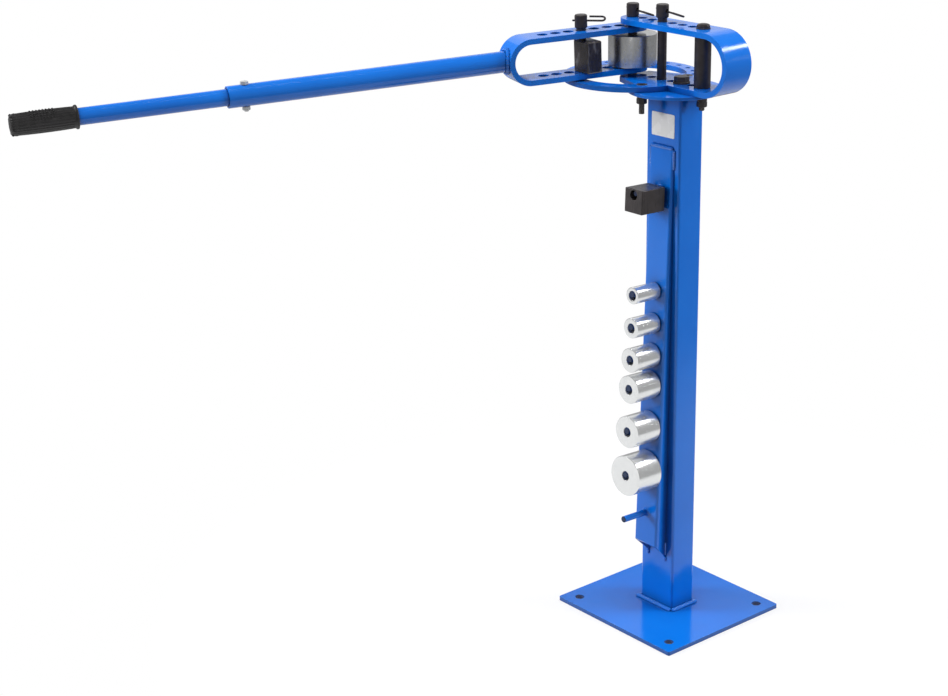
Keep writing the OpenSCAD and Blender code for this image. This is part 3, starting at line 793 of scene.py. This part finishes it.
def domed_bolt():
    """Profile of the post bolt, from its tapered end up: thread, shank, rim and dome."""
    length, thread_from, shank_r = 0.1159, 0.112, M8_R - 0.0001
    head_r, rim_h, dome_h = 0.00935, 0.0012, 0.0048
    rod = [(0, -length), (M8_ROOT - 0.0004, -length), (M8_ROOT, -length + 0.0009),
           (M8_ROOT, -thread_from), (shank_r, -thread_from + 0.0005), (shank_r, 0.0)]
    rim = [(head_r - 0.00035, 0.0), (head_r, 0.0002), (head_r, rim_h)]
    dome = [(head_r * math.sin(math.radians(a)) ** 0.8, rim_h + dome_h * math.cos(math.radians(a)) ** 0.55)
            for a in (82, 72, 60, 48, 36, 24, 12)]
    return rod + rim + dome + [(0.0, rim_h + dome_h)]


post_rod = turned(domed_bolt(), shift(*POST, FRAME_TOP + POST_WASHER_T), 64)
post_crests = thread_line("post_thread", *POST, UNDER_FLANGE - 0.0180, UNDER_FLANGE - 0.0150)
keep("post_rod", joined([to_mesh(post_rod, "post_rod", 30), post_crests], "post_rod"),
     OXIDE, "stand", "black_oxide", "post_bolt")
thin = turned(sleeve_profile(0.0041, 0.010, 0, POST_WASHER_T, ease=0.0003), shift(*POST, FRAME_TOP), 64)
keep("post_disc", to_mesh(thin, "post_disc"), OXIDE, "stand", "black_oxide", "post_washer")
spacer = turned(sleeve_profile(0.0041, 0.0117, 0.0001, 0.0739, ease=0.0009), shift(*POST, RING_TOP))
keep("post_sleeve", to_mesh(spacer, "post_sleeve"),
     OXIDE, body_with("spacer_post"), "black_oxide", "spacer_post")

# Pins keep the CAD shape with eased edges, their spring clips the plain CAD shape
for name, node in (("pivot_lock", "pivot_pin"), ("stop_lock", "stop_pin"), ("block_lock", "block_pin")):
    rounded_node(name, node, 0.0003, OXIDE, "black_oxide", steps=2, sharp=28)
for name, node in (("pivot_hairpin", "pivot_clip"), ("stop_hairpin", "stop_clip"),
                   ("block_hairpin", "block_clip")):
    rounded_node(name, node, 0.0, OXIDE, "black_oxide", sharp=60)


# Dies and blocks

DIE_LEN, DIE_BORE_R = 0.045, 0.0071


def die(name, node, diameter, place, base, bright, gloss, metal, depth):
    """A turned die of its own zinc, from base upwards along +Z of its place."""
    spot = place @ Vector((0, 0, base))
    own_zinc = zinc(name + "_zinc", bright, gloss, metal, depth, place_on=(spot, place.to_euler()))
    profile = sleeve_profile(DIE_BORE_R, diameter / 2, base, base + DIE_LEN, ease=0.0009, steps=4)
    keep(name, to_mesh(turned(profile, place, 128), name, 40), own_zinc, body_with(node), "zinc_plate", node)


# A stored die hangs on its peg by the play of its bore, less a hair of clearance
hang = DIE_BORE_R - PEG_R - 0.00004
for letter, diameter, peg in (("a", 0.025, 6), ("b", 0.030, 5), ("c", 0.036, 4), ("d", 0.042, 3),
                              ("e", 0.048, 2), ("f", 0.061, 1)):
    die(f"die_{letter}_turned", f"die_{letter}", diameter, peg_place(peg) @ shift(y=-hang), base=0.0015,
        bright=0.88, gloss=(0.21, 0.28), metal=0.80, depth=0.95)
die("centre_die_turned", "centre_die", 0.070, shift(*PIVOT, corners("centre_die")[0][2]), base=0.0,
    bright=0.70, gloss=(0.25, 0.36), metal=1.0, depth=0.80)
rounded_node("forming_block_worn", "forming_block", 0.0004, BLOCK_OXIDE, "black_oxide", steps=2, sharp=25)
rounded_node("spare_block_square", "spare_block", 0.0004, SPARE_OXIDE, "black_oxide", steps=2, sharp=25)


# Handle

TUBE_R = 0.015
along_handle = HANDLE @ turn("Y", 90)
tube = turned(sleeve_profile(0.0117, TUBE_R, -0.0020, 0.400, ease=0.0008), along_handle)
keep("handle_outer", to_mesh(tube, "handle_outer"), BLUE, "arm", "blue_paint", "handle_tube")
inner = turned(sleeve_profile(0.009, 0.0115, 0.340, 0.684, ease=0.0005), along_handle)
keep("handle_inner", to_mesh(inner, "handle_inner"), BLUE, "arm", "blue_paint", "handle_extension")


def handle_root():
    """Weld bead round the root of the tube, on the round end of the arm's bar."""
    bend_r, bead_ring_r, proud = 0.03325, 0.0158, 0.0006
    points = []
    for t in angles(56):
        y, z = bead_ring_r * math.cos(t), bead_ring_r * math.sin(t)
        inset = bend_r - math.sqrt(max(0.0, bend_r ** 2 - (z + HANDLE_RISE) ** 2))
        points.append(HANDLE @ Vector((proud - inset, y, z)))
    return weld_line("handle_root_bead", points, 0.0034, 0.0017, 0.0022, seed=40, closed=True)


keep("handle_root_bead", handle_root(), BLUE, "arm", "blue_paint", "arm_weld")

cross = HANDLE @ shift(0.375)
screw = bmesh.new()
hexagon_piece(screw, cross @ shift(z=TUBE_R), M6_ACROSS, height=0.0042, low_cut=False)
turned(rod_profile(M6_R, -0.022, TUBE_R, taper=0.0003), cross, 40, screw)
keep("handle_screw", to_mesh(screw, "handle_screw", 25), ZINC_SMALL, "arm", "zinc_plate", "handle_bolt")
screw_nut = bmesh.new()
hexagon_piece(screw_nut, cross @ shift(z=-0.020), M6_ACROSS, 0.0050, M6_R)
keep("handle_screw_nut", to_mesh(screw_nut, "handle_screw_nut", 25),
     ZINC_SMALL, "arm", "zinc_plate", "handle_nut")


# Grip

def grip_skin():
    """Rubber sleeve: collar ring, shallow lengthwise flutes, domed end, closed mouth."""
    around, inner_r, throat_x, length = 216, 0.01155, 0.0848, 0.088
    flutes, flute_depth = 24, 0.00075
    body_from, body_to, body_r, swell = 0.0075, 0.0800, 0.0144, 0.0010
    # Each point is (along, radius, share of the flute depth)
    collar = [(0.0000, 0.0150, 0), (0.0003, 0.0157, 0), (0.0012, 0.0161, 0), (0.0024, 0.0161, 0),
              (0.0033, 0.0157, 0), (0.0037, 0.0150, 0), (0.0042, 0.0146, 0), (0.0050, body_r, 0.1),
              (0.0062, body_r, 0.6), (body_from, body_r, 1)]
    body = []
    for k in range(1, 60):
        s = k / 60
        radius = body_r + swell * math.sin(math.pi * (0.25 + 0.75 * s)) * s ** 0.5
        body.append((body_from + (body_to - body_from) * s, radius, 1))
    dome = [(body_to, 0.0149, 1), (0.0822, 0.0147, 0.9), (0.0842, 0.0142, 0.8), (0.0858, 0.0133, 0.6),
            (0.0870, 0.0121, 0.4), (0.0877, 0.0107, 0.2), (length, 0.0090, 0), (length, 0.0050, 0)]
    bm = bmesh.new()

    def hoop(x, radius, ribs=0.0):
        points = []
        for t in angles(around):
            crest = 0.5 + 0.5 * math.cos(flutes * t)
            r = radius - flute_depth * (1 - crest ** 0.6) * ribs
            points.append((x, r * math.cos(t), r * math.sin(t)))
        return ring(bm, GRIP, points)

    rings = [ring(bm, GRIP, [(throat_x, 0, 0)]), hoop(throat_x, inner_r), hoop(0.0, inner_r)]
    rings += [hoop(*spot) for spot in collar + body + dome]
    rings.append(ring(bm, GRIP, [(length, 0, 0)]))
    bridge(bm, rings)
    return to_mesh(bm, "grip_sleeve", 50)


keep("grip_sleeve", grip_skin(), RUBBER, "arm", "grip_rubber", "grip")


def pip_mesh(name, spots, radius, height):
    """Pips on (point, outward) spots given in the grip's own frame."""
    seat_r = 2e-5
    bm = bmesh.new()
    for point, out in spots:
        side = out.orthogonal().normalized()
        other = out.cross(side)
        seat = [point + (side * math.cos(a) + other * math.sin(a)) * seat_r for a in angles(3)]
        bm.faces.new(ring(bm, GRIP, seat))
    mesh = bpy.data.meshes.new(name)
    bm.to_mesh(mesh)
    bm.free()
    return STUDS.run(name, mesh, {"Stud radius": radius, "Stud height": height})


def upper_spots():
    """Eight rows of nine spots over the upper side of the grip."""
    first, row_step, turn_step, radius = 0.031, 0.0042, 15.0, 0.0151
    for row in range(8):
        for col in range(-4, 5):
            t = math.radians(90 + col * turn_step)
            out = Vector((0, math.cos(t), math.sin(t)))
            yield Vector((first + row * row_step, 0, 0)) + out * radius, out


def end_spots():
    """Eight spots round the domed end of the grip."""
    along, radius = 0.0858, 0.0131
    for k in range(8):
        t = math.radians(22.5 + 45 * k)
        out = Vector((0.75, 0.66 * math.cos(t), 0.66 * math.sin(t))).normalized()
        yield Vector((along, radius * math.cos(t), radius * math.sin(t))), out


pips = [pip_mesh("upper_pips", upper_spots(), radius=0.0011, height=0.0008),
        pip_mesh("end_pips", end_spots(), radius=0.0021, height=0.0016)]
keep("grip_pips", joined(pips, "grip_pips"), RUBBER, "arm", "grip_rubber")


# Studio

def studio_world():
    """White behind the bender, soft light all round, and dim walls for it to mirror."""
    world = bpy.data.worlds.new("studio")
    scene.world = world
    shading = Shading(world)
    path = shading.node("ShaderNodeLightPath").outputs
    light = shading.node("ShaderNodeBackground", {"Color": (0.97, 0.985, 1.0), "Strength": 0.26})
    white = shading.node("ShaderNodeBackground", {"Color": (1.0, 1.0, 1.0)})
    way = shading.node("ShaderNodeTexCoord").outputs["Generated"]
    back_left = (-0.777, 0.629, 0.0)
    dimming = shading.span(shading.dot(way, back_left), -0.5, 0.6, 0.32, 0.28)
    walls = shading.node("ShaderNodeBackground", {"Color": (1.0, 1.0, 1.0), "Strength": dimming})
    unseen = shading.mix(path["Is Glossy Ray"], light, walls)
    seen = shading.mix(path["Is Camera Ray"], unseen, white)
    shading.node("ShaderNodeOutputWorld", {"Surface": seen.outputs[0]})


def floor_paint():
    """Soft shadow near the plate, white further out; mirrored, bright near and dim far off."""
    material = bpy.data.materials.new("white_sweep")
    shading = Shading(material)
    path = shading.node("ShaderNodeLightPath").outputs
    place = shading.node("ShaderNodeTexCoord").outputs["Object"]
    far = shading.node("ShaderNodeVectorMath", {0: place}, operation="LENGTH").outputs["Value"]
    across = shading.node("ShaderNodeVectorMath", {0: place}, operation="ABSOLUTE").outputs["Vector"]
    sides = shading.node("ShaderNodeSeparateXYZ", {0: across}).outputs
    # The floor under the plate stays dark, so its holes look dark too
    dark_to, clear_from, lift_strength = 0.107, 0.109, 0.71
    square = shading.math("MAXIMUM", sides["X"], sides["Y"])
    clear = shading.span(square, dark_to, clear_from, 0.0, lift_strength)
    paint = shading.node("ShaderNodeBsdfDiffuse", {"Color": (0.28, 0.28, 0.29)})
    lifted = shading.math("MULTIPLY", path["Is Camera Ray"], clear)
    lift = shading.node("ShaderNodeEmission", {"Strength": lifted})
    near = shading.node("ShaderNodeAddShader", {0: paint.outputs[0], 1: lift.outputs[0]})
    pure = shading.node("ShaderNodeEmission", {"Strength": 1.0})
    white_share = shading.math("MULTIPLY", path["Is Camera Ray"], shading.span(far, 0.30, 0.80))
    seen = shading.mix(white_share, near, pure)
    reach = shading.math("ADD", far, shading.dot(place, (0.36, 0.36, 0.0)))
    mirrored = shading.node("ShaderNodeEmission", {"Strength": shading.span(reach, 1.2, 2.0, 0.95, 0.30)})
    whole = shading.mix(path["Is Glossy Ray"], seen, mirrored)
    shading.node("ShaderNodeOutputMaterial", {"Surface": whole.outputs[0]})
    return material


def white_floor():
    """One wide square just below the plate."""
    half_side, depth = 40.0, 0.0004
    bm = bmesh.new()
    spots = [(x * half_side, y * half_side, -depth) for x, y in ((-1, -1), (1, -1), (1, 1), (-1, 1))]
    bm.faces.new(ring(bm, Matrix(), spots))
    mesh = bpy.data.meshes.new("sweep")
    bm.to_mesh(mesh)
    bm.free()
    mesh.materials.append(floor_paint())
    sweep = bpy.data.objects.new("sweep", mesh)
    scene.collection.objects.link(sweep)


def soft_lamp(name, place, aim, width, height, power, mirrored=True):
    """A rectangular lamp; only a mirrored one shows in glossy surfaces."""
    data = bpy.data.lights.new(name, "AREA")
    data.shape = "RECTANGLE"
    data.size, data.size_y = width, height
    data.energy = power
    lamp = bpy.data.objects.new(name, data)
    scene.collection.objects.link(lamp)
    lamp.location = place
    lamp.rotation_euler = (Vector(aim) - Vector(place)).to_track_quat("-Z", "Y").to_euler()
    lamp.visible_camera = False
    lamp.visible_glossy = mirrored


studio_world()
white_floor()
soft_lamp("overhead", (0.1, -0.3, 3.0), (-0.1, -0.1, 0.5), 0.9, 0.9, power=35.0, mirrored=False)
soft_lamp("front_left", (-1.9, -2.2, 1.3), (-0.05, -0.05, 0.5), 0.8, 1.1, power=60.0, mirrored=False)
soft_lamp("back_panel", (-1.71, 1.38, 1.80), (-0.05, 0.0, 0.85), 2.6, 1.3, power=6.0)
soft_lamp("back_strip", (2.50, 2.60, 1.4), (0.10, 0.0, 0.60), 1.2, 0.6, power=77.0, mirrored=False)
soft_lamp("bend_strip", (1.20, 1.87, 2.44), (0.10, 0.0, 0.87), 1.1, 0.26, power=17.0)
soft_lamp("glint_left", (-1.80, -1.40, 1.95), (0.0, 0.0, 0.3), 0.5, 0.5, power=9.0)
soft_lamp("camera_strip", (1.75, -2.15, 1.55), (-0.05, 0.0, 0.80), 0.30, 1.0, power=5.0)


def photograph_camera():
    """Camera of the photograph; its focal length is in pixels of the photograph's width."""
    azimuth, elevation, roll = (math.radians(v) for v in (51.0164, 19.5145, -1.0922))
    focal_pixels, photo_width, sensor_width = 1935.36, 948.0, 36.0
    place = Vector((1.91174, -1.92182, 1.37989))
    level = math.cos(elevation)
    back = Vector((math.sin(azimuth) * level, -math.cos(azimuth) * level, math.sin(elevation)))
    right = (-back).cross(Vector((0, 0, 1))).normalized()
    up = right.cross(-back)
    rolled_right = right * math.cos(roll) + up * math.sin(roll)
    rolled_up = up * math.cos(roll) - right * math.sin(roll)
    data = bpy.data.cameras.new("photograph")
    data.sensor_width = sensor_width
    data.sensor_fit = "HORIZONTAL"
    data.lens = focal_pixels * sensor_width / photo_width
    data.clip_start, data.clip_end = 0.05, 200.0
    camera = bpy.data.objects.new("photograph", data)
    scene.collection.objects.link(camera)
    basis = Matrix((rolled_right, rolled_up, back)).transposed().to_4x4()
    basis.translation = place
    camera.matrix_world = basis
    scene.camera = camera


photograph_camera()
scene.view_settings.view_transform = "Standard"
